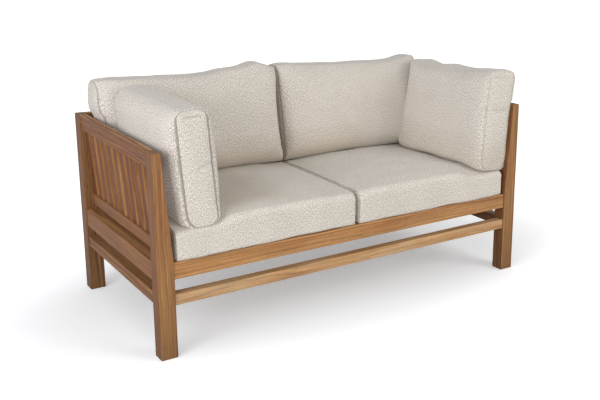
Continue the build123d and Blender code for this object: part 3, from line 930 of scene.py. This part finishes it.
# The arm cushions: the same, but they lean with the arms, and their front panels show. A wave
# is (place along t, width, rise), or how far it hangs down at the bottom.
armPad = {
    "boxing": {"left": 108 * mm, "right": 126 * mm},
    "height": {"left": (382 * mm, 392 * mm), "right": (390 * mm, 401 * mm)},
    "crowns": (40 * mm, 48 * mm),  # inner and outer
    "endRadii": {  # anticlockwise from the top at the high side of a
        "left": [36 * mm, 26 * mm, 44 * mm, 24 * mm],
        "right": [17 * mm, 17 * mm, 36 * mm, 50 * mm],
    },
    "fullRadii": [66 * mm, 66 * mm, 28 * mm, 28 * mm],
    "flat": 8.0,
    "steep": 0.5,
    "thinning": {"left": (0.16, 0.2), "right": (0.0, 0.16)},
    "panelSwell": 9 * mm,
    "endPull": 5 * mm,
    "seamOff": {"left": 74 * mm, "right": 0 * mm},  # from the leg's face to the outer seam
    "stitched": True,
    "seamShare": {"left": 1.0, "right": 0.35},
    "seed": 23,
    "topWaves": {
        "left": [(-200 * mm, 100 * mm, 4 * mm)],
        "right": [
            (-165 * mm, 75 * mm, -20 * mm),
            (30 * mm, 95 * mm, -14 * mm),
            (250 * mm, 80 * mm, 7 * mm),
        ],
    },
    "lowWaves": {"left": [(270 * mm, 70 * mm, 26 * mm)], "right": [(270 * mm, 60 * mm, 16 * mm)]},
    "crease": {  # across the front panel; dark is how deep its painted shade is
        "left": {
            "middle": (30 * mm, -6 * mm),
            "halfLong": 30 * mm,
            "rise": 0.25,
            "wide": 7 * mm,
            "deep": 3.5 * mm,
            "dark": 0.1,
        },
        "right": {
            "middle": (2 * mm, 44 * mm),
            "halfLong": 42 * mm,
            "rise": 0.0,
            "wide": 7 * mm,
            "deep": 3 * mm,
            "dark": 0.2,
        },
    },
    "heel": {"left": 0.0, "right": 42 * mm},  # how far its rear foot bulges inwards
    "heelReach": 190 * mm,
    "heelTop": 0.3,  # of the height, above the middle
    "heelEdge": 30 * mm,
    "overLeg": (12 * mm, 30 * mm),  # how far it bulges over a leg's top, and how soon
}


def makeArmPad(side):
    # the wrapped body stands with t towards the front, turned to lean with the arm. Its heel is
    # a straight line of the height times a bell curve along the length.
    hand = hands[side]
    low, high = (np.array(corner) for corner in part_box(f"arm_cushion_cover_{side}"))
    inner, outer = armPad["crowns"]
    endHigh, fullHigh = armPad["height"][side]
    boxing, seamOff = armPad["boxing"][side], armPad["seamOff"][side]
    length = high[1] - low[1] - 2 * armPad["panelSwell"]
    bySide = ("endRadii", "thinning", "topWaves", "lowWaves", "crease", "seamShare")
    kind = {
        **plainCushion,
        **armPad,
        **{key: armPad[key][side] for key in bySide},
        "endSize": (boxing, endHigh),
        "fullSize": (boxing + inner + outer, fullHigh),
        "fullShift": (hand * (outer - inner) / 2, (fullHigh - endHigh) * sewing["liftShare"]),
        "length": length,
        "panelSwell": (armPad["panelSwell"],) * 2,
        "endPull": (armPad["endPull"],) * 2,
        "seed": armPad["seed"] + hand,
    }
    local, weave, mark = wrappedSurface(kind)
    a, b, t = np.moveaxis(local, 2, 0)
    # outwards is measured from the leaning inner face of the legs, and up along it
    lowDown = np.clip(armPad["heelTop"] - b / fullHigh, 0, 1)
    rearwards = bell((t + length / 2) / armPad["heelReach"])
    innerSide = np.clip(-hand * a / armPad["heelEdge"], 0, 1)
    heel = armPad["heel"][side] * lowDown * rearwards * innerSide
    bulge, soon = armPad["overLeg"]
    aboveLeg = np.clip((b + low[2] + fullHigh / 2 - legTaper["top"]) / soon, 0, 1)
    outwards = -seamOff - boxing / 2 + hand * a - heel
    outwards = np.minimum(outwards, bulge * aboveLeg**2 - clearance)
    base = (low[2] - legTaper["level"] - (seamOff + boxing) * sin(legLean)) / cos(legLean)
    up = base + fullHigh / 2 + b
    x = hand * (legTaper["foot"] + outwards * cos(legLean) + up * sin(legLean))
    z = legTaper["level"] + up * cos(legLean) - outwards * sin(legLean)
    return stand(np.stack([x, (low[1] + high[1]) / 2 - t, z], 2), side), weave, mark


# Painted shade: the cloth is drawn a little darker and warmer where the cushions shade each other
paintedClothShade = {
    "upper": {"back": {"left": 0.72, "right": 0.72}, "arm": {"left": 0.0, "right": 0.45}},
    "high": 150 * mm,  # how far up the upper cushions
    "fade": 0.7,  # the power of how far below that a place is
    "besideArm": (300 * mm, 460 * mm),  # the right back cushion's tone fades out between these
    "seat": {"left": (0.62, 0.38), "right": (0.0, 0.35)},  # widely, and close to the back
    "close": 30 * mm,
    "fromBack": (-50 * mm, 150 * mm),
    "fromArm": (180 * mm, 360 * mm),
    "fromFront": (-380 * mm, -260 * mm),
}


def paintedClothShadeAt(word, side, points):
    # painted shade. Upper cushions: a power of the height below a level. Seat: soft steps towards
    # the back and the arm, and an exponential close to the back.
    x, y, z = np.moveaxis(points, 2, 0)
    if word == "seat":
        wide, close = paintedClothShade["seat"][side]
        besideArm = ease(x * hands[side], *paintedClothShade["fromArm"])
        besideArm = besideArm * ease(y, *paintedClothShade["fromFront"])
        wide = wide * np.maximum(besideArm, ease(y, *paintedClothShade["fromBack"]))
        away = np.maximum(seatPad["pressedFrom"]["back"] - y, 0)
        return wide + close * np.exp(-away / paintedClothShade["close"])
    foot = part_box(f"{word}_cushion_cover_{side}")[0][2]
    lowDown = np.clip(1 - (z - foot) / paintedClothShade["high"], 0, 1) ** paintedClothShade["fade"]
    share = paintedClothShade["upper"][word][side] * lowDown
    return share * (1 - ease(x, *paintedClothShade["besideArm"])) if word == "back" else share


cloth = clothMaterial()
for side in hands:
    for word, make in (("seat", makeSeatPad), ("back", makeBackPad), ("arm", makeArmPad)):
        points, weave, seam = make(side)
        marks = {"seam": seam, "shaded": paintedClothShadeAt(word, side, points)}
        piece = cushionMesh(f"{word}Cushion_{side}", points, weave, marks)
        wear(piece, cloth)
        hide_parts(*(f"{word}_cushion_{part}_{side}" for part in ("cover", "core")))
        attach(piece, f"{word}_cushion_{side}")
        print(piece.name, len(piece.data.polygons), "faces")


# The studio: a pale floor that stays white away from the shadow, and large soft lamps
studio = {
    "floorSize": 60.0,
    "floorLines": 31,  # of its grid, each way
    "floorSeen": "#F9FBFE",  # the paint that the camera sees
    "floorBounce": "#A0A0A0",  # and what it throws back at the object
    "floorGlow": (0.25, 0.75),  # beside the object, and far away
    "glowReach": (1.1, 2.6),  # in half lengths of the object
    "worldGlow": 0.44,  # the light that the white background gives the object
    "aim": (0, 0, 0.45),  # where the lamps point
    "lamps": {  # place, size, power, colour
        "frontLamp": ((-1.9, -4.2, 2.0), 2.6, 33.0, "#FFFFFF"),
        "rightLamp": ((2.4, -3.8, 1.9), 2.6, 82.0, "#FFFDF8"),
        "leftLamp": ((-4.2, -0.6, 2.0), 2.6, 26.0, "#F1F5FF"),
        "lowLamp": ((-4.2, -2.4, 1.3), 2.4, 108.0, "#FFFFFF"),
    },
}


def seenByEye(tree):
    # one where the camera, a gloss or a glass looks at the surface, and nought for bounced light
    rays = addNode(tree, "ShaderNodeLightPath")
    seen = rays.outputs["Is Camera Ray"]
    for kind in ("Is Glossy Ray", "Is Transmission Ray"):
        links = {0: seen, 1: rays.outputs[kind]}
        seen = addNode(tree, "ShaderNodeMath", links, operation="MAXIMUM").outputs[0]
    return seen


def makeFloor():
    # a flat square grid, whose glow grows by a smooth step of the distance from the object
    frameSize = np.array(cadBox[1]) - np.array(cadBox[0])
    half = studio["floorSize"] / 2
    steps = np.linspace(-half, half, studio["floorLines"])
    x, y = np.meshgrid(steps, steps, indexing="ij")
    corners = np.stack([x, y, 0 * x], 2).reshape(-1, 3)
    index = np.arange(len(corners)).reshape(x.shape)
    faces = np.stack([index[:-1, :-1], index[1:, :-1], index[1:, 1:], index[:-1, 1:]], 2)
    mesh = bpy.data.meshes.new("studioFloor")
    mesh.from_pydata(corners.tolist(), [], faces.reshape(-1, 4).tolist())
    floor = bpy.data.objects.new("studioFloor", mesh)
    bpy.context.collection.objects.link(floor)
    material, tree = newMaterial("paintedStudioFloor")
    seen = seenByEye(tree)
    paint = addNode(
        tree,
        "ShaderNodeMix",
        {0: seen, 6: linear(studio["floorBounce"]), 7: linear(studio["floorSeen"])},
        data_type="RGBA",
    )
    matt = addNode(tree, "ShaderNodeBsdfDiffuse", {"Color": paint.outputs[2]})
    place = addNode(tree, "ShaderNodeTexCoord")
    shrunk = addNode(
        tree,
        "ShaderNodeMapping",
        {"Vector": place.outputs["Object"], "Scale": [2 / size for size in frameSize[:2]] + [0]},
    )
    away = addNode(tree, "ShaderNodeVectorMath", {0: shrunk.outputs[0]}, operation="LENGTH")
    reach, glows = studio["glowReach"], studio["floorGlow"]
    fading = addNode(
        tree,
        "ShaderNodeMapRange",
        {"Value": away.outputs["Value"], 1: reach[0], 2: reach[1], 3: glows[0], 4: glows[1]},
        interpolation_type="SMOOTHSTEP",
    )
    strength = addNode(
        tree, "ShaderNodeMath", {0: seen, 1: fading.outputs[0]}, operation="MULTIPLY"
    )
    glow = addNode(
        tree, "ShaderNodeEmission", {"Color": (1, 1, 1, 1), "Strength": strength.outputs[0]}
    )
    both = addNode(tree, "ShaderNodeAddShader", {0: matt.outputs[0], 1: glow.outputs[0]})
    addNode(tree, "ShaderNodeOutputMaterial", {"Surface": both.outputs[0]})
    wear(floor, material)


def makeWorld():
    # white where it is seen, and dimmer as light on the object
    world = bpy.data.worlds.new("studioWorld")
    bpy.context.scene.world = world
    world.use_nodes = True
    tree = world.node_tree
    tree.nodes.clear()
    strength = addNode(
        tree, "ShaderNodeMapRange", {"Value": seenByEye(tree), 3: studio["worldGlow"], 4: 1.0}
    )
    light = addNode(
        tree, "ShaderNodeBackground", {"Color": (1, 1, 1, 1), "Strength": strength.outputs[0]}
    )
    addNode(tree, "ShaderNodeOutputWorld", {"Surface": light.outputs[0]})


def makeLamps():
    for name, (place, size, power, colour) in studio["lamps"].items():
        data = bpy.data.lights.new(name, "AREA")
        data.shape = "SQUARE"
        data.size = size
        data.energy = power
        data.color = linear(colour)[:3]
        lamp = bpy.data.objects.new(name, data)
        aim = Vector(studio["aim"]) - Vector(place)
        turned = aim.to_track_quat("-Z", "Y").to_matrix().to_4x4()
        lamp.matrix_world = Matrix.Translation(place) @ turned
        bpy.context.collection.objects.link(lamp)


makeFloor()
makeWorld()
makeLamps()
print("studio lit")
